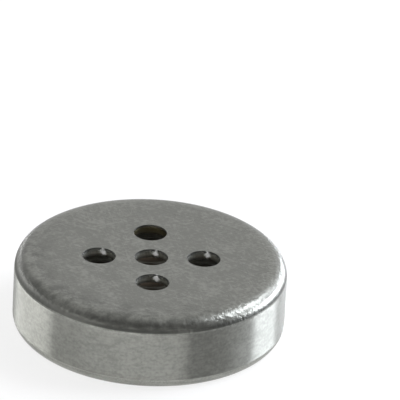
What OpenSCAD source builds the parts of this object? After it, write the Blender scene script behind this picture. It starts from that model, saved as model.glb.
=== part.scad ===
// Electret microphone capsule: a drawn case with five sound holes, rolled over a round circuit board.
// Millimetres. The rear rim rests on z = 0, the front with the sound holes faces +Z, the axis is Z.

/* [Case] */
// outer diameter of the case
case_d = 6.0; // [5.0:0.1:10.0]
// thickness of the drawn sheet
case_t = 0.20; // [0.15:0.01:0.30]
// outer radius of the drawn corner round the front
front_r = 0.32; // [0.25:0.01:0.40]
// outer radius of the rolled corner round the rear
rim_r = 0.24; // [0.20:0.01:0.32]
// width of the rolled rim, from the outer wall to the edge of its lip
rim_w = 0.72; // [0.60:0.01:0.90]
// part of the lip's edge that stays straight next to the board
lip_land = 0.05; // [0.03:0.01:0.10]

/* [Sound holes] */
// diameter of each sound hole
hole_d = 0.73; // [0.40:0.01:0.90]
// distance of the outer sound holes from the axis
hole_pitch_r = 1.15; // [0.95:0.01:1.50]
// number of sound holes round the middle one
hole_ring_n = 4; // [2:1:5]
// rounding that the punch leaves on the outer edge of each sound hole
hole_edge_r = 0.035; // [0.01:0.005:0.08]

/* [Acoustic stack] */
// thickness of the ring that carries the diaphragm
ring_t = 0.25; // [0.22:0.01:0.60]
// thickness of the diaphragm film
film_t = 0.010; // [0.010:0.001:0.020]
// thickness of the spacer between the diaphragm and the electret
spacer_t = 0.035; // [0.020:0.005:0.080]
// thickness of the electret film
electret_t = 0.025; // [0.012:0.001:0.050]
// thickness of the back plate
plate_t = 0.15; // [0.10:0.01:0.30]
// how far the spacer reaches over the edge of the back plate
plate_seat = 0.12; // [0.05:0.01:0.20]
// diameter of each vent hole in the back plate
vent_d = 0.30; // [0.15:0.01:0.40]
// distance of the vent holes from the axis
vent_pitch_r = 1.20; // [0.80:0.01:1.60]
// number of vent holes
vent_n = 6; // [3:1:8]

/* [Rings] */
// wall of the insulating ring
insul_w = 0.35; // [0.25:0.01:0.45]
// wall of the contact ring under the back plate
contact_w = 0.30; // [0.20:0.01:0.40]

/* [Circuit board] */
// thickness of the glass-epoxy core
board_t = 0.30; // [0.20:0.01:0.60]
// thickness of the copper on either face
copper_t = 0.035; // [0.018:0.001:0.070]
// bare edge that the rear copper leaves round the board
copper_margin = 0.10; // [0.05:0.01:0.20]
// thickness of the solder mask over the copper
mask_t = 0.020; // [0.010:0.001:0.030]
// ring of bare copper that the mask leaves inside the rim
mask_gap = 0.16; // [0.05:0.01:0.30]

/* [Terminals] */
// distance between the centres of the two rear pads
pad_pitch = 1.75; // [1.70:0.01:1.90]
// length of a rear pad
pad_l = 2.20; // [1.60:0.01:2.40]
// width of a rear pad
pad_w = 1.15; // [0.90:0.01:1.25]
// width of the bare moat round each rear pad
moat_w = 0.25; // [0.18:0.01:0.35]
// length of the bare waist that joins the two moats between the pads
waist_l = 1.60; // [1.20:0.01:1.70]
// width of the two copper spokes that tie the ground pad to the pour
spoke_w = 0.24; // [0.15:0.01:0.40]
// angle of the spokes from the long axis of the pad
spoke_angle = 56; // [40:1:75]
// height of the solder dome over its pad
solder_h = 0.16; // [0.12:0.01:0.18]
// bare edge of the pad round the solder dome
solder_inset = 0.01; // [0.005:0.005:0.05]
// diameter of the filled via under each pad
via_d = 0.30; // [0.20:0.01:0.40]

/* [Chips] */
// length of the transistor body
fet_l = 1.20; // [1.05:0.01:1.40]
// width of the transistor body, between its two rows of leads
fet_w = 0.80; // [0.60:0.01:0.90]
// height of the transistor body
fet_h = 0.34; // [0.30:0.01:0.60]
// gap between the transistor body and the tracks
fet_standoff = 0.02; // [0.01:0.005:0.05]
// distance of the transistor body from the middle of the board
fet_y = 0.60; // [0.50:0.01:0.70]
// width of a transistor lead
lead_w = 0.22; // [0.15:0.01:0.30]
// thickness of a transistor lead
lead_t = 0.10; // [0.08:0.01:0.14]
// free length of a transistor lead outside the body
lead_reach = 0.20; // [0.10:0.01:0.25]
// length of a transistor lead held inside the body
lead_in = 0.15; // [0.10:0.01:0.20]
// distance between the two leads on the inner side of the transistor
lead_pitch = 0.80; // [0.60:0.01:0.85]
// length of the capacitor
cap_l = 0.60; // [0.50:0.01:1.00]
// width and height of the capacitor
cap_w = 0.30; // [0.20:0.01:0.40]
// length of a capacitor terminal
cap_end = 0.15; // [0.10:0.01:0.20]
// skin of metal that a capacitor terminal wraps round the ceramic
cap_skin = 0.02; // [0.01:0.005:0.03]
// distance of the capacitor from the middle of the board
cap_y = 0.65; // [0.55:0.01:0.90]
// width of the inner tracks
track_w = 0.24; // [0.15:0.01:0.35]
// copper that a land shows round what is soldered to it
land_edge = 0.05; // [0.02:0.01:0.08]

/* [Fits] */
// radial gap between stacked pieces and what holds them
fit_gap = 0.05; // [0.02:0.01:0.08]
// free height between the tallest chip and the back plate
chip_gap = 0.05; // [0.03:0.01:1.00]

/* [Hidden] */
$fn = 96;
eps = 0.05;
case_r = case_d / 2;
case_in_r = case_r - case_t;
front_in_r = max(front_r - case_t, fit_gap);
rim_in_r = case_r - rim_w;
lip_r = case_t - lip_land;
hole_r = hole_d / 2;
stack_r = case_in_r - fit_gap;
insul_in_r = stack_r - insul_w;
plate_r = insul_in_r - fit_gap;
contact_in_r = plate_r - contact_w;
spacer_in_r = plate_r - plate_seat;
copper_r = stack_r - copper_margin;
mask_r = rim_in_r - mask_gap;
mask_dip = mask_t / 2;
chip_h = max(fet_standoff + fet_h, cap_w);
core_z = case_t + copper_t;
core_top_z = core_z + board_t;
track_z = core_top_z + copper_t;
plate_z = track_z + chip_h + chip_gap;
electret_z = plate_z + plate_t;
spacer_z = electret_z + electret_t;
film_z = spacer_z + spacer_t;
ring_z = film_z + film_t;
front_in_z = ring_z + ring_t;
case_h = front_in_z + case_t;
pad_x = pad_pitch / 2;
pad_end_y = (pad_l - pad_w) / 2;
dome_w = pad_w / 2 - solder_inset;
dome_r = (dome_w * dome_w + solder_h * solder_h) / (2 * solder_h);
fet_rear_y = fet_y - fet_w / 2;
fet_front_y = fet_y + fet_w / 2;
cap_end_x = cap_l / 2 - cap_end / 2;
cap_core_w = cap_w - 2 * cap_skin;

// flat ring with the given inner and outer radius
module ring(r_in, r_out, h) {
    difference() {
        cylinder(r = r_out, h = h);
        translate([0, 0, -eps]) cylinder(r = r_in, h = h + 2 * eps);
    }
}

// rectangle from the axis to r, with its two outer corners rounded by r_low and r_high
module rounded_half(r, h, r_low, r_high) {
    square([r - max(r_low, r_high), h]);
    square([r - r_low, h / 2]);
    translate([0, h / 2]) square([r - r_high, h / 2]);
    translate([0, r_low]) square([r, h - r_low - r_high]);
    translate([r - r_low, r_low]) circle(r_low);
    translate([r - r_high, h - r_high]) circle(r_high);
}

// what rounding takes off a corner at the origin of the first quadrant
module corner_waste(r) {
    difference() {
        square([r, r]);
        translate([r, r]) circle(r);
    }
}

// half section of the case: front, drawn corner, wall, rolled corner and lip
module case_section() {
    difference() {
        rounded_half(case_r, case_h, rim_r, front_r);
        translate([0, case_t]) rounded_half(case_in_r, case_h - 2 * case_t, fit_gap, front_in_r);
        translate([0, -eps]) square([rim_in_r, case_t + 2 * eps]);
        translate([rim_in_r, 0]) corner_waste(lip_r);
    }
}

// half section of one sound hole, flared where the punch rounded the outer edge
module hole_section() {
    difference() {
        translate([0, front_in_z - eps]) square([hole_r + hole_edge_r, case_t + 2 * eps]);
        translate([hole_r, front_in_z - 2 * eps]) square([2 * hole_edge_r, case_t + 2 * eps - hole_edge_r]);
        translate([hole_r + hole_edge_r, case_h - hole_edge_r]) circle(hole_edge_r);
    }
}

module sound_hole() {
    rotate_extrude() hole_section();
}

module case() {
    color([0.72, 0.72, 0.70])
    difference() {
        rotate_extrude() case_section();
        sound_hole();
        for (i = [0 : hole_ring_n - 1])
            rotate([0, 0, i * 360 / hole_ring_n]) translate([hole_pitch_r, 0, 0]) sound_hole();
    }
}

// half section of the diaphragm ring, bevelled to clear the drawn corner inside the case
module ring_section() {
    polygon([
        [spacer_in_r, ring_z],
        [stack_r, ring_z],
        [stack_r, front_in_z - front_in_r],
        [stack_r - front_in_r, front_in_z],
        [spacer_in_r, front_in_z]
    ]);
}

module diaphragm_ring() {
    color([0.78, 0.62, 0.30])
    rotate_extrude() ring_section();
}

module diaphragm() {
    color([0.80, 0.66, 0.38])
    translate([0, 0, film_z]) cylinder(r = stack_r, h = film_t);
}

module spacer_ring() {
    color([0.85, 0.80, 0.62])
    translate([0, 0, spacer_z]) ring(spacer_in_r, stack_r, spacer_t);
}

// disc the size of the back plate, with the vent holes through it
module vented_disc(h) {
    difference() {
        cylinder(r = plate_r, h = h);
        for (i = [0 : vent_n - 1])
            rotate([0, 0, i * 360 / vent_n])
                translate([vent_pitch_r, 0, -eps])
                    cylinder(d = vent_d, h = h + 2 * eps);
    }
}

module electret_film() {
    color([0.90, 0.92, 0.94])
    translate([0, 0, electret_z]) vented_disc(electret_t);
}

module back_plate() {
    color([0.76, 0.77, 0.78])
    translate([0, 0, plate_z]) vented_disc(plate_t);
}

module insulating_ring() {
    color([0.12, 0.12, 0.13])
    translate([0, 0, core_top_z]) ring(insul_in_r, stack_r, spacer_z - core_top_z);
}

module contact_ring() {
    color([0.80, 0.64, 0.32])
    translate([0, 0, track_z]) ring(contact_in_r, plate_r, plate_z - track_z);
}

// puts its children at both pads
module at_pads() {
    translate([pad_x, 0, 0]) children();
    translate([-pad_x, 0, 0]) children();
}

module circuit_board() {
    color([0.66, 0.62, 0.40])
    translate([0, 0, core_z])
    difference() {
        cylinder(r = stack_r, h = board_t);
        at_pads() translate([0, 0, -eps]) cylinder(d = via_d, h = board_t + 2 * eps);
    }
}

module vias() {
    color([0.80, 0.50, 0.30])
    translate([0, 0, core_z]) at_pads() cylinder(d = via_d, h = board_t);
}

// outline of a rear pad, its straight part along Y, grown by a margin
module pad_outline(grow) {
    w = pad_w + 2 * grow;
    square([w, 2 * pad_end_y], center = true);
    translate([0, pad_end_y]) circle(d = w);
    translate([0, -pad_end_y]) circle(d = w);
}

// bare laminate round both pads, before the pads and spokes are added back
module moat_outline() {
    translate([pad_x, 0]) pad_outline(moat_w);
    translate([-pad_x, 0]) pad_outline(moat_w);
    square([pad_pitch, waist_l], center = true);
}

// the two spokes, from the round ends of the ground pad across the moat
module spokes_outline() {
    for (side = [-1, 1])
        translate([-pad_x, side * pad_end_y])
            rotate(side * (90 + spoke_angle))
                translate([0, -spoke_w / 2])
                    square([pad_w / 2 + moat_w + eps, spoke_w]);
}

module ground_outline() {
    difference() {
        circle(r = copper_r);
        moat_outline();
    }
    translate([-pad_x, 0]) pad_outline(0);
    spokes_outline();
}

module ground_copper() {
    color([0.82, 0.62, 0.34])
    translate([0, 0, case_t]) linear_extrude(copper_t) ground_outline();
}

module output_pad() {
    color([0.82, 0.62, 0.34])
    translate([pad_x, 0, case_t]) linear_extrude(copper_t) pad_outline(0);
}

// mask over the copper, open at the ground pad
module mask_on_copper() {
    difference() {
        intersection() {
            circle(r = mask_r);
            ground_outline();
        }
        translate([-pad_x, 0]) pad_outline(0);
    }
}

// mask that fills the moats
module mask_in_moat() {
    difference() {
        intersection() {
            circle(r = mask_r);
            moat_outline();
        }
        translate([pad_x, 0]) pad_outline(0);
        translate([-pad_x, 0]) pad_outline(0);
        spokes_outline();
    }
}

module rear_solder_mask() {
    color([0.10, 0.36, 0.20]) {
        translate([0, 0, case_t - mask_t]) linear_extrude(mask_t) mask_on_copper();
        translate([0, 0, case_t - mask_dip]) linear_extrude(copper_t + mask_dip) mask_in_moat();
    }
}

// section of a solder dome standing on the pad, cut off left of x_min
module dome_section(x_min) {
    intersection() {
        translate([0, solder_h - dome_r]) circle(dome_r);
        translate([x_min, 0]) square([dome_w + eps - x_min, solder_h + eps]);
    }
}

// solder dome over a pad: a barrel vault with two rounded ends, bulging towards -Z
module solder_dome() {
    translate([0, 0, case_t]) mirror([0, 0, 1]) {
        rotate([90, 0, 0]) linear_extrude(2 * pad_end_y, center = true) dome_section(-dome_w - eps);
        for (turn = [0, 180])
            rotate([0, 0, turn]) translate([0, pad_end_y, 0]) rotate_extrude(angle = 180) dome_section(0);
    }
}

module ground_solder() {
    color([0.62, 0.62, 0.60])
    translate([-pad_x, 0, 0]) solder_dome();
}

module output_solder() {
    color([0.62, 0.62, 0.60])
    translate([pad_x, 0, 0]) solder_dome();
}

// straight run of track with round ends
module run(a, b) {
    d = b - a;
    translate(a) {
        rotate(atan2(d[1], d[0])) translate([0, -track_w / 2]) square([norm(d), track_w]);
        circle(d = track_w);
    }
    translate(b) circle(d = track_w);
}

// track of one inner lead: lead land, via land, capacitor land and the runs between them
module side_outline(side) {
    via = [side * pad_x, 0];
    lead = [side * lead_pitch / 2, fet_rear_y - lead_reach / 2];
    cap = [side * cap_end_x, -cap_y];
    translate(via) circle(d = via_d + 2 * land_edge);
    translate(lead) square([lead_w + 2 * land_edge, lead_reach + 2 * land_edge], center = true);
    translate(cap) square([cap_end + 2 * land_edge, cap_w + 2 * land_edge], center = true);
    run(via, lead);
    run(via, cap);
}

module drain_track() {
    color([0.84, 0.64, 0.34])
    translate([0, 0, core_top_z]) linear_extrude(copper_t) side_outline(1);
}

module source_track() {
    color([0.84, 0.64, 0.34])
    translate([0, 0, core_top_z]) linear_extrude(copper_t) side_outline(-1);
}

// gate track: ring under the contact ring, with a run to the outer lead
module gate_outline() {
    lead = [0, fet_front_y + lead_reach / 2];
    difference() {
        circle(r = plate_r);
        circle(r = contact_in_r);
    }
    translate(lead) square([lead_w + 2 * land_edge, lead_reach + 2 * land_edge], center = true);
    run(lead, [0, (contact_in_r + plate_r) / 2]);
}

module gate_track() {
    color([0.84, 0.64, 0.34])
    translate([0, 0, core_top_z]) linear_extrude(copper_t) gate_outline();
}

// one lead, its free end pointing to +Y from the edge of the body
module lead() {
    translate([-lead_w / 2, -lead_in, 0]) cube([lead_w, lead_in + lead_reach, lead_t]);
}

module jfet_leads() {
    color([0.75, 0.74, 0.72])
    translate([0, 0, track_z]) {
        translate([0, fet_front_y, 0]) lead();
        translate([lead_pitch / 2, fet_rear_y, 0]) rotate([0, 0, 180]) lead();
        translate([-lead_pitch / 2, fet_rear_y, 0]) rotate([0, 0, 180]) lead();
    }
}

module jfet_body() {
    color([0.10, 0.10, 0.11])
    difference() {
        translate([-fet_l / 2, fet_rear_y, track_z + fet_standoff]) cube([fet_l, fet_w, fet_h]);
        jfet_leads();
    }
}

module capacitor_body() {
    color([0.62, 0.50, 0.38])
    translate([-cap_l / 2 + cap_skin, -cap_y - cap_core_w / 2, track_z + cap_skin])
        cube([cap_l - 2 * cap_skin, cap_core_w, cap_core_w]);
}

module capacitor_terminals() {
    color([0.74, 0.73, 0.70])
    difference() {
        for (side = [-1, 1])
            translate([side * cap_end_x - cap_end / 2, -cap_y - cap_w / 2, track_z])
                cube([cap_end, cap_w, cap_w]);
        capacitor_body();
    }
}

case();
diaphragm_ring();
diaphragm();
spacer_ring();
electret_film();
back_plate();
insulating_ring();
contact_ring();
circuit_board();
ground_copper();
output_pad();
rear_solder_mask();
ground_solder();
output_solder();
vias();
gate_track();
source_track();
drain_track();
jfet_body();
jfet_leads();
capacitor_body();
capacitor_terminals();
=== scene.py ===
"""Electret microphone capsule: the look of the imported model, in metres and in its own frame.

The drawn case, the solder mask and the two solder domes are worked out here as smooth surfaces that
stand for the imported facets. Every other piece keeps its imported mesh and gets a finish.
"""
import logging
import math
from dataclasses import dataclass
from enum import Enum
from functools import cached_property

import bmesh
import bpy
import numpy as np
from mathutils import Matrix, Vector


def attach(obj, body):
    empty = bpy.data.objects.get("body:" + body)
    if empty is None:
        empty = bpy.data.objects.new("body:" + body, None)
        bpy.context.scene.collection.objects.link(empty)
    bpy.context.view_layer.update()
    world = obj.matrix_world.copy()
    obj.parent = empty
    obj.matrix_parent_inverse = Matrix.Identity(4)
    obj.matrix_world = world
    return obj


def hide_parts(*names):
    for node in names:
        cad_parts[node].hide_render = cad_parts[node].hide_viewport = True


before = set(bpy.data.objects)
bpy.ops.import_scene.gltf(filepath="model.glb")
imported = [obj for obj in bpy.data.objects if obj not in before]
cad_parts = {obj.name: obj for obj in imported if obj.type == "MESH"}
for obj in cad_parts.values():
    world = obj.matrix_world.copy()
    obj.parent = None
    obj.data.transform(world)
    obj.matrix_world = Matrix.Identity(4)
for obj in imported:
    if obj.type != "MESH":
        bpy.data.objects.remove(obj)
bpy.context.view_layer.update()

LOG = logging.getLogger("capsule")
MM = 1e-3
WELD = 2e-8
CASE_HEIGHT = 1.65
HOLE_PITCH = 1.15
HOLE_R = 0.365
Triple = tuple[float, float, float]
Colour = Triple
Span = tuple[float, float]


def toned(colour: Colour, tone: float) -> Colour:
    """A colour times a tone."""
    return tuple(c * tone for c in colour)


def toward(azimuth: float, elevation: float = 0.0) -> Vector:
    """Direction at an azimuth, from the front round to the right, and an elevation, in degrees."""
    a, e = math.radians(azimuth), math.radians(elevation)
    return Vector((math.sin(a) * math.cos(e), -math.cos(a) * math.cos(e), math.sin(e)))


class Signal:
    """A shader value on which Python's operators add Math nodes."""

    def __init__(self, shader: "Shader", socket: bpy.types.NodeSocket) -> None:
        """Keeps the socket and the shader that it belongs to."""
        self.shader = shader
        self.socket = socket

    def __add__(self, other: "Number") -> "Signal":
        """Sum."""
        return self.shader.math("ADD", self, other)

    def __sub__(self, other: "Number") -> "Signal":
        """Difference."""
        return self.shader.math("SUBTRACT", self, other)

    def __rsub__(self, other: "Number") -> "Signal":
        """Reflected difference, as in 1 - mask."""
        return self.shader.math("SUBTRACT", other, self)

    def __mul__(self, other: "Number") -> "Signal":
        """Product."""
        return self.shader.math("MULTIPLY", self, other)

    def __truediv__(self, other: "Number") -> "Signal":
        """Quotient."""
        return self.shader.math("DIVIDE", self, other)

    def __rtruediv__(self, other: "Number") -> "Signal":
        """Reflected quotient."""
        return self.shader.math("DIVIDE", other, self)

    def __pow__(self, other: "Number") -> "Signal":
        """Power."""
        return self.shader.math("POWER", self, other)

    def __abs__(self) -> "Signal":
        """Absolute value."""
        return self.shader.math("ABSOLUTE", self)

    __radd__ = __add__
    __rmul__ = __mul__

    def most(self, other: "Number") -> "Signal":
        """The greater of two values."""
        return self.shader.math("MAXIMUM", self, other)

    def step(self, low: float, high: float) -> "Signal":
        """Smooth step from 0 at low to 1 at high.

        Args:
            low: value at which the step starts.
            high: value at which it ends, above low or below it.

        Returns:
            The step, held between 0 and 1.
        """
        ramp = self.shader.add(
            "ShaderNodeMapRange",
            {"interpolation_type": "SMOOTHSTEP"},
            {"Value": self, "From Min": low, "From Max": high},
        )
        return self.shader.out(ramp, "Result")


Number = Signal | float


class Shader:
    """A material or a world, and the node tree that is written into it."""

    def __init__(self, name: str, world: bool = False) -> None:
        """Makes an empty material or an empty world.

        Args:
            name: its name.
            world: whether it is a world.
        """
        self.owner = (bpy.data.worlds if world else bpy.data.materials).new(name)
        self.owner.use_nodes = True
        self.tree = self.owner.node_tree
        self.tree.nodes.clear()

    def add(self, kind: str, settings: dict | None = None, sockets: dict | None = None) -> bpy.types.Node:
        """Adds one node.

        Args:
            kind: the node's type.
            settings: its properties, set before its sockets.
            sockets: a number, a tuple, a Signal or a socket for each input, by name or index.

        Returns:
            The node.
        """
        node = self.tree.nodes.new(kind)
        for key, value in (settings or {}).items():
            setattr(node, key, value)
        for key, value in (sockets or {}).items():
            if isinstance(value, Signal):
                value = value.socket
            if isinstance(value, bpy.types.NodeSocket):
                self.tree.links.new(value, node.inputs[key])
            else:
                node.inputs[key].default_value = value
        return node

    def out(self, node: bpy.types.Node, key: str | int) -> Signal:
        """One output of a node as a value."""
        return Signal(self, node.outputs[key])

    def math(self, operation: str, *terms: Number) -> Signal:
        """One Math node."""
        node = self.add("ShaderNodeMath", {"operation": operation}, dict(enumerate(terms)))
        return self.out(node, 0)

    def place(self, scale: Triple = (1.0, 1.0, 1.0), turn: float = 0.0) -> Signal:
        """Object coordinates in millimetres, turned about Z and then stretched.

        Args:
            scale: factor on each axis after the turn.
            turn: angle about Z, in degrees.

        Returns:
            The vector.
        """
        source = self.add("ShaderNodeTexCoord")
        turned = self.add(
            "ShaderNodeVectorRotate",
            {"rotation_type": "Z_AXIS"},
            {"Vector": source.outputs["Object"], "Angle": math.radians(turn)},
        )
        factor = tuple(s / MM for s in scale)
        node = self.add("ShaderNodeVectorMath", {"operation": "MULTIPLY"}, {0: turned.outputs[0], 1: factor})
        return self.out(node, 0)

    @cached_property
    def where(self) -> Signal:
        """The place, in millimetres."""
        return self.place()

    @cached_property
    def axes(self) -> tuple[Signal, Signal, Signal]:
        """The three parts of the place."""
        node = self.add("ShaderNodeSeparateXYZ", None, {0: self.where})
        return self.out(node, 0), self.out(node, 1), self.out(node, 2)

    @cached_property
    def reach(self) -> Signal:
        """Distance of the place from the capsule's axis."""
        x, y, _ = self.axes
        return (x * x + y * y) ** 0.5

    def vector(self, x: Number, y: Number, z: Number) -> Signal:
        """A vector from its three parts."""
        return self.out(self.add("ShaderNodeCombineXYZ", None, {0: x, 1: y, 2: z}), 0)

    def noise(
        self, scale: float, detail: float = 2.0, rough: float = 0.5, where: Signal | None = None
    ) -> Signal:
        """Soft noise between 0 and 1.

        Args:
            scale: lumps in a millimetre.
            detail: octaves.
            rough: weight of the finer octaves.
            where: where it is read, if not at the plain place.

        Returns:
            The value.
        """
        node = self.add(
            "ShaderNodeTexNoise",
            {"noise_dimensions": "3D"},
            {"Vector": where or self.where, "Scale": scale, "Detail": detail, "Roughness": rough},
        )
        return self.out(node, "Fac")

    def lines(self, scale: Triple, turn: float, width: float) -> Signal:
        """Scratches: thin lines where a noise on stretched coordinates crosses its middle value."""
        return abs(self.noise(1.0, 1.0, where=self.place(scale, turn)) - 0.5).step(width, 0.0)

    def mix(self, factor: Number, first: Colour | Signal, second: Colour | Signal) -> Signal:
        """Colour between two others.

        Args:
            factor: share of the second colour.
            first: colour at 0.
            second: colour at 1.

        Returns:
            The colour.
        """
        pair = [(*c, 1.0) if isinstance(c, tuple) else c for c in (first, second)]
        node = self.add("ShaderNodeMix", {"data_type": "RGBA"}, {0: factor, 6: pair[0], 7: pair[1]})
        return self.out(node, 2)

    def surface(
        self,
        colour: Signal,
        rough: Number,
        relief: Signal | None = None,
        depth: float = 1.0,
        white: Signal | None = None,
        **more: Number,
    ) -> bpy.types.Material:
        """Ends the tree in one Principled surface.

        Args:
            colour: its colour.
            rough: its roughness.
            relief: its relief, if any.
            depth: how many millimetres high a relief of 1 stands.
            white: share of plain white light in its place, if any.
            more: its other inputs, with underscores for spaces.

        Returns:
            The material.
        """
        named = {k.replace("_", " "): v for k, v in more.items()}
        if relief:
            bump = self.add("ShaderNodeBump", None, {"Height": relief, "Distance": depth * MM})
            named["Normal"] = bump.outputs[0]
        node = self.add("ShaderNodeBsdfPrincipled", None, {"Base Color": colour, "Roughness": rough, **named})
        if white:
            glow = self.add("ShaderNodeEmission", None, {"Color": (1.0, 1.0, 1.0, 1.0), "Strength": 1.0})
            node = self.add("ShaderNodeMixShader", None, {0: white, 1: node.outputs[0], 2: glow.outputs[0]})
        self.add("ShaderNodeOutputMaterial", None, {"Surface": node.outputs[0]})
        return self.owner


@dataclass(frozen=True)
class ZoneFace:
    """What a press tool leaves on one zone.

    These are its tone beside the sheet, its roughness, its relief in mm, the grit's lumps in a mm, how
    far its roughness varies, and how little its shade varies.
    """

    tone: float
    rough: float
    depth: float
    grit: float
    spread: float
    calm: float


class CaseZone(Enum):
    """The parts of the case, with the face that the press tools leave on each. The corner's tone is partly
    painted shade, and the bore's partly painted light.
    """

    FRONT = ZoneFace(0.77, 0.37, 0.0045, 13.0, 0.10, 0.14)
    # The corner's low tone is partly burnished metal and partly painted shade.
    CORNER = ZoneFace(0.64, 0.21, 0.0155, 14.0, 0.12, 0.19)
    WALL = ZoneFace(0.72, 0.38, 0.0002, 17.0, 0.03, 0.22)
    RIM = ZoneFace(1.05, 0.34, 0.0022, 24.0, 0.10, 0.19)
    # The bore's high tone is partly bright sheared metal and partly painted light on the shaded hole walls
    # and inner faces.
    BORE = ZoneFace(2.40, 0.50, 0.0040, 24.0, 0.10, 0.19)

    @property
    def number(self) -> int:
        """The zone's place in the case's list of materials."""
        return list(CaseZone).index(self)


@dataclass(frozen=True)
class DrawnAluminium:
    """Bare aluminium sheet, drawn, pierced and rolled, then tumbled.

    Each span runs from where a mark is absent to where it is full. Those named for a height are shares of
    the corner's height, from its foot to the front. The others are in mm, apart from the noise in a patch.
    """

    zone: CaseZone
    pale: Colour = (0.300, 0.304, 0.279)
    dull: Colour = (0.212, 0.215, 0.197)
    top: float = CASE_HEIGHT
    tangent: float = 1.33
    blotch_share: float = 0.45
    grit_share: float = 0.55
    marks_share: float = 0.25
    relief_marks: float = 0.55
    relief_grit: float = 0.45
    front_height: Span = (0.55, 1.0)
    # Tone of the painted shade on the corner's foot and left top, and on each hole's top edge.
    painted_shade_tone: float = 0.23
    burnish_rough: float = 0.20
    burnish_height: Span = (0.95, 0.25)
    # Heights of the line of painted shade and dark reflection at the corner's foot.
    line_foot_height: Span = (0.10, 0.21)
    line_top_height: Span = (0.62, 0.30)
    # Darker painted shade in that line on the near side.
    deep_line_tone: float = 0.100
    deep_line_height: Span = (0.60, 0.42)
    deep_line_left: Span = (-1.90, -1.00)
    deep_line_right: Span = (0.95, 0.15)
    deep_line_y: Span = (0.0, -1.0)
    # Left and rear, where the corner is rougher and its painted shade line reaches higher.
    tarnish_and_shade_x: Span = (-1.4, -2.6)
    tarnish_and_shade_y: Span = (-0.6, 0.4)
    tarnish_rough: float = 0.35
    shade_lift: float = 0.28
    # Painted shade on the left top of the corner.
    left_share: float = 0.55
    left_x: Span = (-1.9, -2.6)
    left_height: Span = (1.0, 0.86)
    # Gap in the painted shade line at the right, where the glare shows.
    shade_gap_share: float = 0.8
    shade_gap_x: Span = (1.7, 2.6)
    shade_gap_height: Span = (0.30, 0.52)
    pit_depth: float = 0.6
    pitted_x: Span = (0.4, 1.6)
    # Darker grainy patches along the left and near edge of the front and the corner's top.
    near_edge_tone: float = 0.45
    near_edge_share: float = 0.75
    near_edge_way: float = -0.7
    near_edge_reach: Span = (1.9, 2.6)
    near_edge_side: Span = (-0.6, 2.0)
    near_edge_patch: Span = (0.40, 0.64)
    hole_pitch: float = HOLE_PITCH
    hole_r: float = HOLE_R
    edge_depth: Span = (0.11, 0.01)
    torn_depth: Span = (0.11, 0.19)
    torn_tone: float = 1.3
    # Brown tint of the rear hole's bore.
    stain: Colour = (0.29, 0.265, 0.165)
    rear_tint_edge: Span = (0.10, 0.05)
    rear_torn_cut: float = 0.5
    # Painted highlight high in each hole but the rear one, whose relief leans up.
    glint: Colour = (0.95, 0.95, 0.94)
    glint_bearing: float = 74.0
    glint_half: float = 0.09
    glint_rise: float = 1.4
    glint_z: float = 1.55
    glint_ragging: float = 0.8
    glint_fade: Span = (1.5, 0.6)
    glint_side: Span = (0.0, 0.1)
    glint_y: Span = (0.7, 0.6)

    def material(self) -> bpy.types.Material:
        """Sheet colour, roughness and relief, varied by soft blotches, fine grit and the zone's marks.

        Returns:
            The material.
        """
        shader = Shader(f"aluminium_{self.zone.name.lower()}")
        x, _, z = shader.axes
        face = self.zone.value
        blotch = shader.noise(1.3, 4.0, 0.6)
        grit = shader.noise(face.grit, 2.0, 0.5)
        marks = self.marks(shader)
        uneven = self.blotch_share * (blotch - 0.5) + self.grit_share * (grit - 0.5)
        shade = (uneven + self.marks_share * (marks - 0.5)).step(-face.calm, face.calm)
        colour = self.sheet(shader, shade, face.tone)
        rough = face.rough + face.spread * (blotch + marks - 1)
        relief = (self.relief_marks * marks + self.relief_grit * grit) * face.depth
        spread = {}
        match self.zone:
            case CaseZone.FRONT:
                colour = self.darker_near_edge(shader, colour)
            case CaseZone.CORNER:
                colour, rough = self.fade(shader, shade, colour, rough)
                relief = relief * (1 + self.pit_depth * x.step(*self.pitted_x))
            case CaseZone.WALL:
                spread = {"Anisotropic": 1.0, "Anisotropic_Rotation": 0.25}
            case CaseZone.BORE:
                # A pale patch of painted highlight high in each hole but the rear one.
                glint = self.painted_hole_glint(shader)
                colour = shader.mix(glint, self.tarnish(shader, colour), self.glint)
                relief = relief + glint * (self.glint_z - z)
        return shader.surface(colour, rough, relief, Metallic=1.0, **spread)

    def dark(self, tone: float) -> Colour:
        """The dull colour times a tone."""
        return toned(self.dull, tone)

    def sheet(self, shader: Shader, shade: Signal, tone: float) -> Signal:
        """The sheet's colour at a tone, from dull to pale by a shade."""
        return shader.mix(shade, self.dark(tone), toned(self.pale, tone))

    def fade(self, shader: Shader, shade: Signal, colour: Signal, rough: Signal) -> tuple[Signal, Signal]:
        """Runs the corner's finish into the front's above it and into a dark line of painted shade at its
        foot.

        The line, painted shade and dark reflection, reaches higher at the left and the rear, where the corner
        is also rougher, has a gap at the right, and is darkest on the near side. The corner's left top gets
        painted shade too.

        Args:
            shader: the shader.
            shade: share of the pale colour.
            colour: the corner's own colour.
            rough: the corner's own roughness.

        Returns:
            The colour and the roughness.
        """
        x, y, z = shader.axes
        height = (z - self.tangent) / (self.top - self.tangent)
        front = CaseZone.FRONT.value
        above = height.step(*self.front_height)
        # Dark colour of the painted shade on the corner's foot and its left top.
        shade_colour = self.dark(self.painted_shade_tone)
        tarnish_and_shade = x.step(*self.tarnish_and_shade_x).most(y.step(*self.tarnish_and_shade_y))
        left = x.step(*self.left_x) * height.step(*self.left_height)
        shade_gap = x.step(*self.shade_gap_x) * (1 - tarnish_and_shade) * height.step(*self.shade_gap_height)
        # Painted shade and dark reflection in a line at the corner's foot, higher at the left and rear, with
        # a gap at the right.
        line = (height - self.shade_lift * tarnish_and_shade).step(*self.line_top_height)
        line = line * height.step(*self.line_foot_height) * (1 - self.shade_gap_share * shade_gap)
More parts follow.
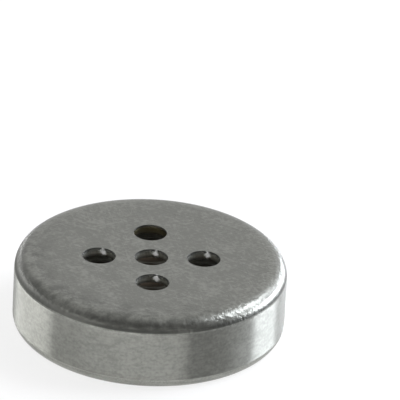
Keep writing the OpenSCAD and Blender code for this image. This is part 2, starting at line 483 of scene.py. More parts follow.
        # Darker painted shade on the near side of the line.
        near = x.step(*self.deep_line_left) * x.step(*self.deep_line_right) * y.step(*self.deep_line_y)
        deep = near * height.step(*self.deep_line_height)
        line_colour = shader.mix(deep, shade_colour, self.dark(self.deep_line_tone))
        colour = shader.mix(above, colour, self.sheet(shader, shade, front.tone))
        # Painted shade on the left top of the corner.
        colour = shader.mix(self.left_share * left, self.darker_near_edge(shader, colour), shade_colour)
        rough = rough + above * (front.rough - self.zone.value.rough)
        burnish = self.burnish_rough + self.tarnish_rough * tarnish_and_shade
        return shader.mix(line, colour, line_colour), rough + burnish * height.step(*self.burnish_height)

    def darker_near_edge(self, shader: Shader, colour: Signal) -> Signal:
        """Puts grainy dark patches along the left and near edge of the front.

        Args:
            shader: the shader.
            colour: the colour without the patches.

        Returns:
            The colour.
        """
        x, y, _ = shader.axes
        side = (self.near_edge_way * (x + y)).step(*self.near_edge_side)
        patch = shader.noise(3.2, 4.0, 0.7).step(*self.near_edge_patch)
        dark_marks = self.near_edge_share * shader.reach.step(*self.near_edge_reach) * side * patch
        return shader.mix(dark_marks, colour, self.dark(self.near_edge_tone))

    def tarnish(self, shader: Shader, colour: Signal) -> Signal:
        """Darkens the outer edge of each hole as painted shade, dulls the torn lower half, and tints the rear
        one brown.

        Args:
            shader: the shader.
            colour: the bright colour of the sheared metal.

        Returns:
            The colour.
        """
        x, y, z = shader.axes
        behind = y - self.hole_pitch
        # The rear hole's bore is tinted brown.
        rear = ((x * x + behind * behind) ** 0.5 - self.hole_r).step(*self.rear_tint_edge)
        colour = shader.mix(rear, colour, self.stain)
        depth = self.top - z
        torn = depth.step(*self.torn_depth) * (1 - self.rear_torn_cut * rear)
        colour = shader.mix(torn, colour, self.dark(self.torn_tone))
        # Painted shade on the top edge of each hole.
        return shader.mix(depth.step(*self.edge_depth), colour, self.dark(self.painted_shade_tone))

    def painted_hole_glint(self, shader: Shader) -> Signal:
        """Painted highlight, leaning up, high in each hole but the rear one: a pale patch standing for a torn
        facet.

        The place is taken from the nearest point of a square grid at the hole pitch, so the holes share
        it. The fleck fades with the distance from its middle, measured along the wall and up it.

        Args:
            shader: the shader.

        Returns:
            The fleck, 0 to 1.
        """
        x, y, z = shader.axes
        pitch = self.hole_pitch
        near_x, near_y = (v - pitch * shader.math("ROUND", v / pitch) for v in (x, y))
        bearing = math.radians(self.glint_bearing)
        c, s = math.cos(bearing), math.sin(bearing)
        along = (near_y * c - near_x * s) / self.glint_half
        up = (z - self.glint_z) / (self.glint_rise * self.glint_half)
        torn = shader.noise(16.0, 2.0) * self.glint_ragging
        fleck = ((along * along + up * up) ** 0.5 + torn).step(*self.glint_fade)
        return fleck * (near_x * c + near_y * s).step(*self.glint_side) * y.step(*self.glint_y)

    def marks(self, shader: Shader) -> Signal:
        """The zone's own marks: grain, stretched skin, ironing, rolling or shearing.

        Args:
            shader: the shader.

        Returns:
            The marks, about 0 to 1.
        """
        match self.zone:
            case CaseZone.FRONT:
                return self.grain(shader)
            case CaseZone.CORNER:
                skin = shader.noise(9.0, 2.0)
                return self.streaks(shader, 22.0, 1.2, 0.2) * 0.2 + 0.8 * skin
            case CaseZone.WALL:
                return self.streaks(shader, 16.0, 14.0)
            case CaseZone.RIM:
                return self.streaks(shader, 2.5, 28.0)
            case CaseZone.BORE:
                return shader.noise(1.0, 3.0, 0.6, shader.place((22.0, 22.0, 3.0))).step(0.25, 0.75)

    @staticmethod
    def grain(shader: Shader) -> Signal:
        """Rolling grain of the sheet with stray tumbling scratches.

        Args:
            shader: the shader.

        Returns:
            The marks, about 0 to 1.
        """
        rolled = shader.noise(1.6, 3.0, 0.65, shader.place((0.9, 9.0, 1.0), 40.0)).step(0.25, 0.75)
        stray = shader.lines((0.35, 5.0, 1.0), -24.0, 0.012)
        cross = shader.lines((0.45, 6.0, 1.0), 77.0, 0.010)
        dark_marks = shader.lines((0.30, 4.0, 1.0), 28.0, 0.030)
        worn = shader.noise(0.7, 2.0).step(0.45, 0.65)
        return rolled * 0.5 + 0.5 * stray.most(cross) - 0.6 * dark_marks * worn

    @staticmethod
    def streaks(shader: Shader, pitch: float, rows: float, clip: float = 0.25) -> Signal:
        """Marks that run up or round the sheet: noise on the bearing and on the way along the sheet.

        Args:
            shader: the shader.
            pitch: marks in a radian.
            rows: marks in a millimetre along the sheet.
            clip: share of the noise that is cut off at each end.

        Returns:
            The marks, 0 to 1.
        """
        x, y, z = shader.axes
        reach = shader.reach
        along = shader.vector(x / reach * pitch, y / reach * pitch, (z - reach) * rows)
        return shader.noise(1.0, 3.0, 0.6, along).step(clip, 1 - clip)


@dataclass(frozen=True)
class TurnedMetal:
    """Brass or steel ring stock with fine rings left by the tool."""

    name: str
    pale: Colour
    dull: Colour
    rough: float = 0.3
    swing: float = 0.15
    rings_in_mm: float = 40.0
    depth: float = 0.002

    def material(self) -> bpy.types.Material:
        """Rings on the distance from the axis, over a soft tarnish.

        Returns:
            The material.
        """
        shader = Shader(self.name)
        tarnish = shader.noise(2.2, 4.0, 0.6)
        place = shader.vector(shader.reach * self.rings_in_mm, shader.axes[2] * self.rings_in_mm, tarnish)
        rings = shader.noise(1.0, 2.0, where=place)
        shade = (0.6 * tarnish + 0.5 * rings).step(0.3, 0.8)
        colour = shader.mix(shade, self.dull, self.pale)
        rough = self.rough + self.swing * (tarnish - 0.5)
        return shader.surface(colour, rough, rings, self.depth, Metallic=1.0)


@dataclass(frozen=True)
class PlatedCopper:
    """Copper foil with a thin gold flash."""

    name: str = "plated_copper"
    pale: Colour = (0.46, 0.36, 0.19)
    dull: Colour = (0.30, 0.22, 0.11)
    rough: float = 0.34
    swing: float = 0.2
    depth: float = 0.002

    def material(self) -> bpy.types.Material:
        """Fine plating nodules over a soft stain.

        Returns:
            The material.
        """
        shader = Shader(self.name)
        stain = shader.noise(3.0, 4.0, 0.6)
        nodules = shader.noise(45.0, 3.0, 0.6)
        shade = (0.6 * stain + 0.5 * nodules).step(0.3, 0.8)
        colour = shader.mix(shade, self.dull, self.pale)
        rough = self.rough + self.swing * (stain - 0.5)
        return shader.surface(colour, rough, nodules, self.depth, Metallic=1.0)


@dataclass(frozen=True)
class FilmSheet:
    """Thin polymer film, which may be painted pale away from the sound holes, as painted light where it lies
    in shade. In mm.
    """

    name: str
    pale: Colour
    dull: Colour
    rough: float = 0.25
    gloss: float = 0.5
    # Pale colour painted away from the holes, as light in the film's shade.
    painted_light: Colour | None = None
    hole_pitch: float = HOLE_PITCH
    painted_light_r: Span = (0.50, 0.70)
    swing: float = 0.1
    depth: float = 0.004

    def material(self) -> bpy.types.Material:
        """Faint tension ripples and a little uneven colour.

        Returns:
            The material.
        """
        shader = Shader(self.name)
        ripple = shader.noise(3.0, 2.0, where=shader.place((1.0, 0.25, 1.0), 30.0))
        fleck = shader.noise(18.0, 3.0)
        shade = (0.6 * ripple + 0.5 * fleck).step(0.3, 0.8)
        colour = shader.mix(shade, self.dull, self.pale)
        # Painted light: pale away from the holes, where the film lies in the case's shade.
        if self.painted_light:
            colour = shader.mix(self.hole_distance(shader).step(*self.painted_light_r), colour, self.painted_light)
        rough = self.rough + self.swing * (fleck - 0.5)
        return shader.surface(colour, rough, ripple, self.depth, Specular_IOR_Level=self.gloss)

    def hole_distance(self, shader: Shader) -> Signal:
        """How far the place is from the axis of the nearest of the five holes.

        Args:
            shader: the shader.

        Returns:
            The distance, in millimetres.
        """
        x, y, _ = shader.axes
        past_x, past_y = abs(x) - self.hole_pitch, abs(y) - self.hole_pitch
        outer = shader.math("MINIMUM", past_x * past_x + y * y, x * x + past_y * past_y) ** 0.5
        return shader.math("MINIMUM", shader.reach, outer)


@dataclass(frozen=True)
class MouldedPlastic:
    """Filled moulding compound with a fine spark-eroded skin."""

    name: str
    pale: Colour
    dull: Colour
    rough: float = 0.5
    fleck_scale: float = 20.0
    swing: float = 0.15
    depth: float = 0.006

    def material(self) -> bpy.types.Material:
        """Fine skin grain, filler flecks and soft flow marks.

        Returns:
            The material.
        """
        shader = Shader(self.name)
        flow = shader.noise(2.0, 3.0)
        fleck = shader.noise(self.fleck_scale, 3.0, 0.65)
        shade = (0.4 * flow + 0.7 * fleck).step(0.35, 0.8)
        colour = shader.mix(shade, self.dull, self.pale)
        return shader.surface(colour, self.rough + self.swing * (flow - 0.5), fleck, self.depth)


@dataclass(frozen=True)
class GlassLaminate:
    """Woven glass cloth in epoxy."""

    name: str = "laminate"
    pale: Colour = (0.50, 0.46, 0.26)
    dull: Colour = (0.33, 0.30, 0.15)
    yarn: float = 0.32
    rough: float = 0.42
    swing: float = 0.2
    depth: float = 0.005

    def material(self) -> bpy.types.Material:
        """Plain weave from the product of two sine waves a yarn apart.

        Returns:
            The material.
        """
        shader = Shader(self.name)
        x, y, _ = shader.axes
        turn = math.pi / self.yarn
        weave = shader.math("SINE", x * turn) * shader.math("SINE", y * turn) * 0.5 + 0.5
        fleck = shader.noise(14.0, 3.0)
        shade = (0.6 * weave + 0.5 * fleck).step(0.2, 0.9)
        colour = shader.mix(shade, self.dull, self.pale)
        return shader.surface(colour, self.rough + self.swing * (fleck - 0.5), weave, self.depth)


@dataclass(frozen=True)
class MaskLacquer:
    """Green solder mask: bright over copper, dark where it lies on the bare core."""

    name: str = "solder_mask"
    over_copper: Colour = (0.008, 0.078, 0.040)
    thin_tone: float = 0.8
    over_core: Colour = (0.004, 0.011, 0.009)
    attribute: str = "copper_depth"
    blur: float = 0.02
    rough: float = 0.27
    swing: float = 0.12
    gloss: float = 0.3
    depth: float = 0.004

    def material(self) -> bpy.types.Material:
        """Two greens split by the stored distance to the copper's edge, with printing mottle on top.

        Returns:
            The material.
        """
        shader = Shader(self.name)
        depth = shader.out(shader.add("ShaderNodeAttribute", {"attribute_name": self.attribute}), "Fac")
        copper = depth.step(-self.blur, self.blur)
        mottle = shader.noise(6.0, 4.0, 0.6)
        peel = shader.noise(12.0, 2.0)
        thin = toned(self.over_copper, self.thin_tone)
        green = shader.mix(mottle.step(0.3, 0.75), thin, self.over_copper)
        colour = shader.mix(copper, self.over_core, green)
        rough = self.rough + self.swing * (mottle - 0.5)
        return shader.surface(colour, rough, peel, self.depth, Specular_IOR_Level=self.gloss)


@dataclass(frozen=True)
class ReflowedSolder:
    """Dull tin solder with a thin brown flux stain."""

    name: str = "solder"
    pale: Colour = (0.24, 0.225, 0.20)
    stain: Colour = (0.115, 0.102, 0.083)
    rough: float = 0.33
    stain_rough: float = 0.25
    metal: float = 0.95
    stain_metal: float = 0.15
    depth: float = 0.012

    def material(self) -> bpy.types.Material:
        """Dendrite grain in the metal, and a stain that gathers in soft patches.

        Returns:
            The material.
        """
        shader = Shader(self.name)
        patch = shader.noise(1.9, 4.0, 0.6)
        grain = shader.noise(16.0, 4.0, 0.65)
        shade = (0.7 * patch + 0.4 * grain).step(0.35, 0.75)
        colour = shader.mix(shade, self.stain, self.pale)
        rough = self.rough + self.stain_rough * (1 - shade)
        metal = self.metal - self.stain_metal * (1 - shade)
        return shader.surface(colour, rough, 0.4 * patch + 0.6 * grain, self.depth, Metallic=metal)


Finish = TurnedMetal | PlatedCopper | FilmSheet | MouldedPlastic | GlassLaminate


@dataclass
class Patch:
    """A grid of points, rows by columns by three, with the number of its finish. Its rows may be rings."""

    points: np.ndarray
    zone: int = 0
    closed: bool = True

    def faces(self, start: int) -> np.ndarray:
        """Corner numbers of the grid's quads.

        Args:
            start: number of the grid's first point.

        Returns:
            One row of four point numbers for each face.
        """
        rows, columns = self.points.shape[:2]
        index = start + np.arange(rows * columns).reshape(rows, columns)
        if self.closed:
            index = np.concatenate([index, index[:, :1]], axis=1)
        corners = (index[:-1, :-1], index[1:, :-1], index[1:, 1:], index[:-1, 1:])
        return np.stack([c.ravel() for c in corners], axis=1)


def linked(name: str, data: bpy.types.ID) -> bpy.types.Object:
    """Makes an object and links it to the scene.

    Args:
        name: its name.
        data: the mesh, lamp or camera that it holds.

    Returns:
        The object.
    """
    thing = bpy.data.objects.new(name, data)
    bpy.context.scene.collection.objects.link(thing)
    return thing


def weld(
    name: str, patches: list[Patch], finishes: list[bpy.types.Material], crease: float
) -> bpy.types.Object:
    """Joins grids into one mesh, with points that fall together merged and faces turned outwards.

    Args:
        name: name of the new piece.
        patches: the grids, in millimetres.
        finishes: one material for each zone number.
        crease: edges sharper than this angle, in degrees, stay sharp.

    Returns:
        The object, linked to the scene.
    """
    starts = np.cumsum([0] + [p.points.shape[0] * p.points.shape[1] for p in patches])
    points = np.concatenate([p.points.reshape(-1, 3) for p in patches]) * MM
    faces = [p.faces(start) for p, start in zip(patches, starts)]
    zones = np.repeat([p.zone for p in patches], [len(f) for f in faces])
    mesh = bpy.data.meshes.new(name)
    mesh.from_pydata(points, [], np.concatenate(faces).tolist())
    mesh.polygons.foreach_set("material_index", zones.astype(np.int32))
    work = bmesh.new()
    work.from_mesh(mesh)
    bmesh.ops.remove_doubles(work, verts=work.verts, dist=WELD)
    bmesh.ops.recalc_face_normals(work, faces=work.faces)
    work.to_mesh(mesh)
    work.free()
    mesh.shade_smooth()
    mesh.set_sharp_from_angle(angle=math.radians(crease))
    for finish in finishes:
        mesh.materials.append(finish)
    return linked(name, mesh)


def arc(centre: tuple[float, float], radius: float, start: float, end: float, count: int) -> np.ndarray:
    """Points on a circle between two angles in degrees: centre plus radius times cosine and sine."""
    angle = np.radians(np.linspace(start, end, count))
    return np.asarray(centre) + radius * np.stack([np.cos(angle), np.sin(angle)], axis=1)


def spun(profile: np.ndarray, angle: np.ndarray, centre: tuple[float, float] = (0.0, 0.0)) -> np.ndarray:
    """A profile of radius r and height z carried round an upright axis: x = r cos a, y = r sin a.

    Args:
        profile: rows of radius and height.
        angle: angles round the axis, in radians.
        centre: where the axis stands.

    Returns:
        The grid, one row for each profile point.
    """
    radius, height = profile[:, :1], profile[:, 1:]
    flat = np.ones_like(angle)
    return np.stack(
        [centre[0] + radius * np.cos(angle), centre[1] + radius * np.sin(angle), height * flat], axis=2
    )


def bridged(inner: np.ndarray, outer: np.ndarray, share: np.ndarray, height: float) -> np.ndarray:
    """Rows between two level loops: each point is the inner one plus a share of the way to the outer."""
    flat = inner + share[:, None, None] * (outer - inner)
    return np.concatenate([flat, np.full((*flat.shape[:2], 1), height)], axis=2)


def turned(loop: np.ndarray, quarter: int) -> np.ndarray:
    """A loop in the plane after so many quarter turns."""
    c, s = ((1, 0), (0, 1), (-1, 0), (0, -1))[quarter % 4]
    return loop @ np.array([[c, s], [-s, c]], dtype=float)


@dataclass
class DrawnCase:
    """Case drawn from one sheet: front with five sound holes, corner, wall, and rim rolled inwards. In mm."""

    radius: float = 3.0
    height: float = CASE_HEIGHT
    sheet: float = 0.20
    front_r: float = 0.32
    corner_reach: float = 0.42
    corner_rows: int = 24
    corner_foot: int = 20
    rim_r: float = 0.24
    rim_w: float = 0.72
    lip_land: float = 0.05
    inner_bend: float = 0.05
    hole_r: float = HOLE_R
    hole_edge: float = 0.006
    hole_pitch: float = HOLE_PITCH
    side_steps: int = 16
    spoke_steps: int = 18
    arc_steps: int = 48
    front_rows: tuple[float, ...] = (0.0, 0.05, 0.3, 0.65, 0.95, 1.0)
    edge_points: int = 7
    wall_points: int = 9
    roll_points: int = 13
    lip_points: int = 11
    rim_bend_points: int = 5
    corner_bend_points: int = 7
    crease: float = 40.0

    def build(self) -> bpy.types.Object:
        """Builds and dresses the case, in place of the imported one.

        Returns:
            The case.
        """
        finishes = [DrawnAluminium(zone).material() for zone in CaseZone]
        piece = weld("case_shell", self.front() + self.sides(), finishes, self.crease)
        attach(piece, "root")
        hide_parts("case")
        return piece

    @property
    def flat_r(self) -> float:
        """Radius at which the flat front ends and the corner starts."""
        return self.radius - self.corner_reach

    def corner(self) -> np.ndarray:
        """Profile of the drawn corner, whose bend starts and ends softly.

        The direction turns from level to straight down by a smooth step of the way along the profile.
        The points are the sums of the steps taken, scaled to the corner's reach.

        Returns:
            Rows of radius and height.
        """
        way = np.linspace(0.0, 1.0, self.corner_rows + 1)
        turn = np.pi / 2 * way**2 * (3 - 2 * way)
        step = np.stack([np.cos(turn), -np.sin(turn)], axis=1)
        path = np.cumsum(np.concatenate([[(0.0, 0.0)], (step[1:] + step[:-1]) / 2]), axis=0)
        return (self.flat_r, self.height) + path * self.corner_reach / path[-1, 0]

    def cell_loops(self) -> list[tuple[tuple[float, float], np.ndarray]]:
        """Each hole's centre with the outline of the part of the front that belongs to it.

        The middle hole has a square whose sides lie halfway to its neighbours. Each outer hole has
        the piece between that square's side, the two diagonals and the circle where the corner starts.

        Returns:
            The five centres and their outlines, counter-clockwise.
        """
        half = self.hole_pitch / 2
        slope = np.tan(np.radians(np.linspace(45.0, -45.0, self.side_steps + 1)))
        side = np.stack([np.full_like(slope, half), half * slope], axis=1)
        share = np.linspace(0.0, 1.0, self.spoke_steps + 1)[:, None]
        rim = arc((0.0, 0.0), self.flat_r, -45.0, 45.0, self.arc_steps + 1)
        down = side[-1] + share * (rim[0] - side[-1])
        up = rim[-1] + share * (side[0] - rim[-1])
        outer = np.concatenate([side[:-1], down[:-1], rim[:-1], up[:-1]])
        middle = np.concatenate([turned(side[::-1][:-1], k) for k in range(4)])
        ring = [(tuple(turned(np.array([[self.hole_pitch, 0.0]]), k)[0]), turned(outer, k)) for k in range(4)]
        return [((0.0, 0.0), middle), *ring]

    def front(self) -> list[Patch]:
        """Outer face, inner face and the five holes.

        Each face is rows from a hole's rim out to its outline. Each hole is a quarter circle, which the punch
        leaves, and a straight drop, carried round the hole's axis.

        Returns:
            Their grids.
        """
        share = np.array(self.front_rows)
        top, under = self.height, self.height - self.sheet
        edge = self.hole_edge
        flare = np.concatenate(
            [
                arc((self.hole_r + edge, top - edge), edge, 90.0, 180.0, self.edge_points),
                [(self.hole_r, under + 0.5 * (self.sheet - edge)), (self.hole_r, under)],
            ]
        )
        patches = []
        for centre, outline in self.cell_loops():
            around = np.arctan2(outline[:, 1] - centre[1], outline[:, 0] - centre[0])
            ray = np.stack([np.cos(around), np.sin(around)], axis=1)
            wide = np.asarray(centre) + (self.hole_r + edge) * ray
            narrow = np.asarray(centre) + self.hole_r * ray
            patches.append(Patch(bridged(wide, outline, share, top), CaseZone.FRONT.number))
            patches.append(Patch(bridged(narrow, outline, share, under), CaseZone.BORE.number))
            patches.append(Patch(spun(flare, around, centre), CaseZone.BORE.number))
        return patches

    def sides(self) -> list[Patch]:
        """Corner, wall and rolled rim, out and in, as parts of one profile carried round the axis.

        Returns:
            Their grids.
        """
        r, h, t = self.radius, self.height, self.sheet
        lip_x, lip_r = r - self.rim_w, t - self.lip_land
        bend, inner = self.inner_bend, self.front_r - t
        corner, foot = self.corner(), self.corner_foot
        down = np.linspace(h - self.corner_reach, self.rim_r, self.wall_points)
        wall = np.stack([np.full_like(down, r), down], axis=1)
        roll = arc((r - self.rim_r, self.rim_r), self.rim_r, 0.0, -90.0, self.roll_points)
        lip = arc((lip_x + lip_r, lip_r), lip_r, -90.0, -180.0, self.lip_points)
        inside = np.concatenate(
            [
                [(lip_x, lip_r), (lip_x, t)],
                arc((r - t - bend, t + bend), bend, -90.0, 0.0, self.rim_bend_points),
                arc((r - t - inner, h - t - inner), inner, 0.0, 90.0, self.corner_bend_points),
            ]
        )
        parts = {
            CaseZone.CORNER: corner[: foot + 1],
            CaseZone.WALL: np.concatenate([corner[foot:], wall[1:]]),
            CaseZone.RIM: np.concatenate([roll, lip]),
            CaseZone.BORE: inside,
        }
        steps = 4 * self.arc_steps
        angle = np.radians(-45.0) + np.arange(steps) * 2 * np.pi / steps
        return [Patch(spun(profile, angle), zone.number) for zone, profile in parts.items()]


@dataclass
class RearFace:
    """Rear of the board: the green mask with its moats and the two solder domes on the pads. In mm."""

    seat: float = 0.20
    core: float = 0.235
    mask_t: float = 0.020
    mask_dip: float = 0.010
    mask_r: float = 2.12
    pad_x: float = 0.875
    pad_half: float = 0.575
    pad_end: float = 0.525
    moat_w: float = 0.25
    waist_l: float = 1.60
    spoke_w: float = 0.24
    spoke_l: float = 0.60
    spoke_angle: float = 56.0
    solder_inset: float = 0.01
    solder_h: float = 0.15
    drape: float = 0.035
    line_steps: int = 72
    bow_steps: int = 144
    mask_rows: int = 40
    mask_crease: float = 50.0
    dome_steps: int = 128
    dome_rows: int = 24
    dome_power: float = 2.4
    dome_crease: float = 60.0

    def build(self) -> list[bpy.types.Object]:
        """Builds and dresses the mask and the two domes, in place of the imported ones.

        Returns:
            The three pieces.
        """
        mask = weld("mask_coat", self.mask_patches(), [MaskLacquer().material()], self.mask_crease)
        self.store_depth(mask)
        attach(mask, "root")
        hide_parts("rear_solder_mask")
        solder = ReflowedSolder().material()
        domes = []
        for name, node, side in (("ground_dome", "ground_solder", -1), ("output_dome", "output_solder", 1)):
            dome = weld(name, self.dome_patches(side), [solder], self.dome_crease)
            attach(dome, "root")
            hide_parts(node)
            domes.append(dome)
        return [mask, *domes]

    def pad_distance(self, at: np.ndarray, side: int) -> np.ndarray:
        """Distance from a pad's outline, less than 0 inside: that to its middle line, less half its width."""
        along = np.clip(at[..., 1], -self.pad_end, self.pad_end)
        return np.hypot(at[..., 0] - side * self.pad_x, at[..., 1] - along) - self.pad_half

    def copper_depth(self, at: np.ndarray) -> np.ndarray:
        """How far points lie inside the copper: outside the moats and the waist, or inside a spoke.

        Args:
            at: points in the plane.

        Returns:
            The depth, less than 0 over bare core.
        """
        clear = np.minimum(self.pad_distance(at, 1), self.pad_distance(at, -1)) - self.moat_w
        waist = np.maximum(np.abs(at[..., 0]) - self.pad_x, np.abs(at[..., 1]) - self.waist_l / 2)
        depth = np.minimum(clear, waist)
        for end in (-1, 1):
            lean = math.radians(self.spoke_angle)
            way = np.array([-math.sin(lean), end * math.cos(lean)])
            off = at - np.array([-self.pad_x, end * self.pad_end])
            along, across = off @ way, np.abs(off @ np.array([-way[1], way[0]]))
            half = (self.pad_half + self.moat_w + self.spoke_l) / 2
            spoke = np.minimum(self.spoke_w / 2 - across, half - np.abs(along - half))
            depth = np.maximum(depth, spoke)
        return depth

    def pad_loop(self, around: np.ndarray, grown: float, side: int) -> np.ndarray:
        """Where rays from a pad's middle cross its outline, grown or shrunk by a margin.

        On the flat flanks the ray ends at half the width over its cosine. On the round ends it ends where
        the quadratic for a circle about the end's centre is met.

        Args:
            around: angles of the rays, in radians.
            grown: margin outside the outline.
            side: 1 for the output pad, -1 for the ground pad.

        Returns:
            The points.
        """
        half = self.pad_half + grown
        c, s = np.cos(around), np.sin(around)
        flank = half / np.maximum(np.abs(c), 1e-9)
        reach = self.pad_end * np.abs(s)
        end = reach + np.sqrt(np.maximum(reach**2 - self.pad_end**2 + half**2, 0.0))
        ray = np.where(flank * np.abs(s) <= self.pad_end, flank, end)
        return np.stack([side * self.pad_x + ray * c, ray * s], axis=1)

    def mask_patches(self) -> list[Patch]:
        """Rear skin, inner skin and edges of the mask.

        Each half of the disc is a set of rows from its pad's outline to its edge, which is the straight
        line between the halves and then the half circle. The skins drop over the copper's edge by a
        smooth step on the copper depth.

        Returns:
            Their grids.
        """
        line = self.mask_r * np.sin(np.radians(np.linspace(90.0, -90.0, self.line_steps + 1)))[:-1]
        bow = arc((0.0, 0.0), self.mask_r, -90.0, 90.0, self.bow_steps + 1)[:-1]
        half = np.concatenate([np.stack([np.zeros_like(line), line], axis=1), bow])
        share = np.linspace(0.0, 1.0, self.mask_rows + 1)
        patches = []
        for side in (-1, 1):
            outline = half if side > 0 else -half
            around = np.arctan2(outline[:, 1], outline[:, 0] - side * self.pad_x)
            pad = self.pad_loop(around, 0.0, side)
            flat = bridged(pad, outline, share, 0.0)
            sink = 1 - self.smooth_step(self.copper_depth(flat[..., :2]) / self.drape)
            rear, inner = flat.copy(), flat.copy()
            rear[..., 2] = self.seat - self.mask_t + self.mask_dip * sink
            inner[..., 2] = self.seat + (self.core - self.seat) * sink
            patches += [Patch(rear), Patch(inner)]
            patches.append(Patch(np.stack([rear[0], inner[0]])))
            rim = slice(len(line), None)
            wall = np.stack([rear[-1], inner[-1]])
            patches.append(Patch(np.concatenate([wall[:, rim], wall[:, :1]], axis=1), closed=False))
        return patches

    @staticmethod
    def smooth_step(ratio: np.ndarray) -> np.ndarray:
        """Cubic step from 0 at a ratio of -1 to 1 at a ratio of 1."""
        share = np.clip(ratio * 0.5 + 0.5, 0.0, 1.0)
        return share * share * (3 - 2 * share)

    def store_depth(self, piece: bpy.types.Object) -> None:
        """Keeps the copper depth at each point of the mask for its finish.

        Args:
            piece: the mask.
        """
        mesh = piece.data
        at = np.empty(len(mesh.vertices) * 3, dtype=np.float32)
        mesh.vertices.foreach_get("co", at)
        depth = self.copper_depth(at.reshape(-1, 3)[:, :2].astype(float) / MM)
        layer = mesh.attributes.new(MaskLacquer().attribute, "FLOAT", "POINT")
        layer.data.foreach_set("value", depth.astype(np.float32))

    def dome_patches(self, side: int) -> list[Patch]:
        """Dome of solder and its flat seat.

        Rows go from the pad's outline in to its middle line. The height is one less a power of what
        is left of the way, so that it is steep at the edge and flat on top, and slow waves leave
        the top a little uneven.

        Args:
            side: 1 for the output pad, -1 for the ground pad.

        Returns:
            Their grids.
        """
        around = np.radians(np.linspace(0.0, 360.0, self.dome_steps + 1))[:-1]
        rim = self.pad_loop(around, -self.solder_inset, side)
        middle = np.clip(rim[:, 1], -self.pad_end, self.pad_end)
        spine = np.stack([np.full_like(middle, side * self.pad_x), middle], axis=1)
        share = np.sin(np.linspace(0.0, np.pi / 2, self.dome_rows + 1))
        flat = bridged(rim, spine, share, self.seat)
        x, y = flat[..., 0] - side * self.pad_x, flat[..., 1]
        wave = 0.05 * np.sin(2.3 * x - 1.9 * y + side) + 0.04 * np.sin(3.7 * y + 2.1 * x + 0.6 * side) - 0.09
        rise = (1 - (1 - share[:, None]) ** self.dome_power) * (1 + wave)
        dome = flat.copy()
        dome[..., 2] = self.seat - self.solder_h * rise
        return [Patch(dome), Patch(flat)]


@dataclass
class InnerStack:
    """The pieces inside and on the board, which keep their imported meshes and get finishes."""

    def finishes(self) -> dict[str, Finish]:
        """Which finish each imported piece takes.

        Returns:
            The finishes, by the name of the piece.
        """
        brass = TurnedMetal("ring_brass", (0.80, 0.63, 0.34), (0.60, 0.44, 0.20))
        contact = TurnedMetal("contact_brass", (0.78, 0.62, 0.36), (0.58, 0.43, 0.22), 0.26)
        steel = TurnedMetal("plate_steel", (0.56, 0.55, 0.53), (0.42, 0.41, 0.39), 0.32)
        lead = TurnedMetal("tinned_lead", (0.68, 0.67, 0.64), (0.50, 0.49, 0.46), 0.34)
        sleeve = MouldedPlastic("ring_plastic", (0.055, 0.055, 0.058), (0.035, 0.035, 0.038), 0.45)
        chip = MouldedPlastic("chip_plastic", (0.030, 0.030, 0.032), (0.016, 0.016, 0.018), 0.55, 34.0)
        ceramic = MouldedPlastic("ceramic", (0.46, 0.34, 0.22), (0.36, 0.26, 0.16), 0.4, 40.0)
        copper = PlatedCopper()
        return {
            "diaphragm_ring": brass,
            # The diaphragm's last colour is painted light away from the holes.
            "diaphragm": FilmSheet(
                "metallised_film", (0.105, 0.082, 0.056), (0.078, 0.058, 0.038), 0.6, 0.1, (0.84, 0.84, 0.76)
            ),
            "spacer_ring": FilmSheet("spacer_film", (0.52, 0.34, 0.12), (0.38, 0.23, 0.07)),
            "electret_film": FilmSheet("electret_film", (0.62, 0.63, 0.64), (0.50, 0.51, 0.52)),
            "back_plate": steel,
            "insulating_ring": sleeve,
            "contact_ring": contact,
            "circuit_board": GlassLaminate(),
            **dict.fromkeys(("ground_copper", "output_pad", "vias"), copper),
            **dict.fromkeys(("gate_track", "source_track", "drain_track"), copper),
            "jfet_body": chip,
            "jfet_leads": lead,
            "capacitor_body": ceramic,
            "capacitor_terminals": lead,
        }

    def dress(self) -> None:
        """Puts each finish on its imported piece."""
        made = {}
        for name, finish in self.finishes().items():
            if finish not in made:
                made[finish] = finish.material()
            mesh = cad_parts[name].data
            mesh.materials.clear()
            mesh.materials.append(made[finish])
            LOG.info("dressed %s as %s", name, made[finish].name)


@dataclass(frozen=True)
class SoftLamp:
    """A soft box aimed at the capsule."""

    name: str
    azimuth: float
    elevation: float
    radiance: float
    width: float
    height: float
    tint: Colour = (1.0, 1.0, 1.0)
    distance: float = 0.30

    def build(self, target: Vector) -> None:
        """Hangs the lamp.

        Args:
            target: the point that it faces.
        """
        data = bpy.data.lights.new(self.name, "AREA")
        data.shape = "RECTANGLE"
        data.size, data.size_y = self.width, self.height
        data.energy = self.radiance * math.pi * self.width * self.height
        data.color = self.tint
        lamp = linked(self.name, data)
        way = toward(self.azimuth, self.elevation)
        lamp.location = target + self.distance * way
        lamp.rotation_euler = way.to_track_quat("Z", "Y").to_euler()
        lamp.visible_camera = False


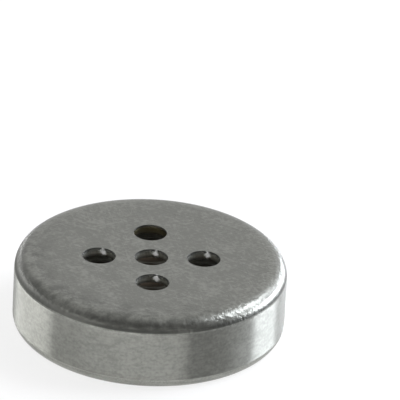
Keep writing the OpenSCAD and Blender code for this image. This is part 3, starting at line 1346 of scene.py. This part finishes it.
@dataclass
class Studio:
    """Floor, light and camera."""

    dim: float = 0.33
    pale: float = 1.0
    bright_side: float = 165.0
    bright_edge: Span = (-0.7, 0.7)
    floor_tone: Colour = (0.93, 0.93, 0.93)
    floor_fibre: float = 0.985
    floor_white: float = 0.75
    floor_half: float = 1.5
    floor_rough: float = 0.9
    floor_crease: float = 30.0
    clip_near: float = 0.01
    clip_far: float = 10.0
    image_px: float = 400.0
    sensor_mm: float = 36.0
    face_px: tuple[float, float] = (151.39, 257.19)
    scale_px: float = 136.74
    distance: float = 0.120
    azimuth: float = -2.5
    elevation: float = 28.2
    roll: float = 2.94

    def lamps(self) -> list[SoftLamp]:
        """The soft boxes, at azimuths from the camera's side round to the right.

        Returns:
            The lamps.
        """
        cool = (0.96, 1.0, 1.08)
        return [
            SoftLamp("right_high_box", 109.0, 43.0, 8.5, 0.19, 0.12, cool),
            SoftLamp("front_strip", -14.0, 3.5, 16.0, 0.58, 0.036),
            SoftLamp("front_left_strip", -70.0, 3.5, 8.5, 0.12, 0.036),
            SoftLamp("right_strip", 106.0, 6.5, 38.0, 0.16, 0.066, cool),
            SoftLamp("rear_strip", 141.0, 1.5, 46.0, 0.17, 0.016, cool),
            SoftLamp("left_strip", -111.0, 1.5, 70.0, 0.30, 0.016),
            SoftLamp("left_rear_strip", -157.0, 1.5, 12.0, 0.09, 0.016),
        ]

    def build(self, case: DrawnCase) -> None:
        """Sets up the floor, the world, the lamps and the camera.

        Args:
            case: the case, which the lamps and the camera aim at.
        """
        self.floor()
        self.world()
        face = Vector((0.0, 0.0, case.height * MM))
        for lamp in self.lamps():
            lamp.build(face)
        self.camera(face, case.radius * MM)
        bpy.context.scene.view_settings.view_transform = "Standard"

    def floor(self) -> None:
        """Lays a plain pale sheet that is near white where the camera, metal or glass sees it.

        The shadow stays, because only a share of what they see is plain white.
        """
        u, v = np.meshgrid(np.linspace(-1, 1, 3), np.linspace(-1, 1, 3), indexing="ij")
        grid = np.stack([u, v, 0 * u], axis=2) * self.floor_half / MM
        shader = Shader("studio_floor")
        fibre = shader.noise(0.08, 3.0).step(0.3, 0.7)
        tone = shader.mix(fibre, toned(self.floor_tone, self.floor_fibre), self.floor_tone)
        path = shader.add("ShaderNodeLightPath")
        kinds = ("Camera", "Glossy", "Transmission")
        camera, glossy, clear = (shader.out(path, f"Is {kind} Ray") for kind in kinds)
        seen = camera.most(glossy).most(clear) * self.floor_white
        finish = shader.surface(tone, self.floor_rough, white=seen, Specular_IOR_Level=0.0)
        floor = weld("studio_floor", [Patch(grid, closed=False)], [finish], self.floor_crease)

    def world(self) -> None:
        """Room that is dim in front and pale behind: a smooth step on the direction along one level axis."""
        shader = Shader("studio_room", world=True)
        source = shader.add("ShaderNodeTexCoord")
        sockets = {0: source.outputs["Generated"], 1: toward(self.bright_side)}
        along = shader.out(shader.add("ShaderNodeVectorMath", {"operation": "DOT_PRODUCT"}, sockets), "Value")
        level = self.dim + (self.pale - self.dim) * along.step(*self.bright_edge)
        white = {"Color": (1.0, 1.0, 1.0, 1.0), "Strength": level}
        back = shader.add("ShaderNodeBackground", None, white)
        shader.add("ShaderNodeOutputWorld", None, {"Surface": back.outputs[0]})
        bpy.context.scene.world = shader.owner

    def camera(self, face: Vector, radius: float) -> None:
        """Places the camera so that the front's middle and radius fall on the measured pixels.

        Args:
            face: middle of the front.
            radius: radius of the case.
        """
        roll = math.radians(self.roll)
        back = toward(self.azimuth, self.elevation)
        right = toward(self.azimuth + 90.0)
        up = back.cross(right)
        across = math.cos(roll) * right + math.sin(roll) * up
        upward = math.cos(roll) * up - math.sin(roll) * right
        focal_px = self.scale_px * self.distance / radius
        half = self.image_px / 2
        yaw = math.atan((half - self.face_px[0]) / focal_px)
        pitch = math.atan((self.face_px[1] - half) / focal_px)
        turn = Matrix((across, upward, back)).transposed()
        turn = turn @ Matrix.Rotation(-yaw, 3, "Y") @ Matrix.Rotation(pitch, 3, "X")
        data = bpy.data.cameras.new("camera")
        data.sensor_width = self.sensor_mm
        data.lens = focal_px * self.sensor_mm / self.image_px
        data.clip_start, data.clip_end = self.clip_near, self.clip_far
        camera = linked("camera", data)
        camera.location = face + self.distance * back
        camera.rotation_euler = turn.to_euler()
        bpy.context.scene.camera = camera


def main() -> None:
    """Builds the case, the rear face, the inner stack and the studio."""
    logging.basicConfig(level=logging.INFO)
    case = DrawnCase()
    Studio().build(case)
    pieces = [case.build(), *RearFace().build()]
    for piece in pieces:
        LOG.info("built %s with %d faces", piece.name, len(piece.data.polygons))
    InnerStack().dress()


if __name__ == "__main__":
    main()
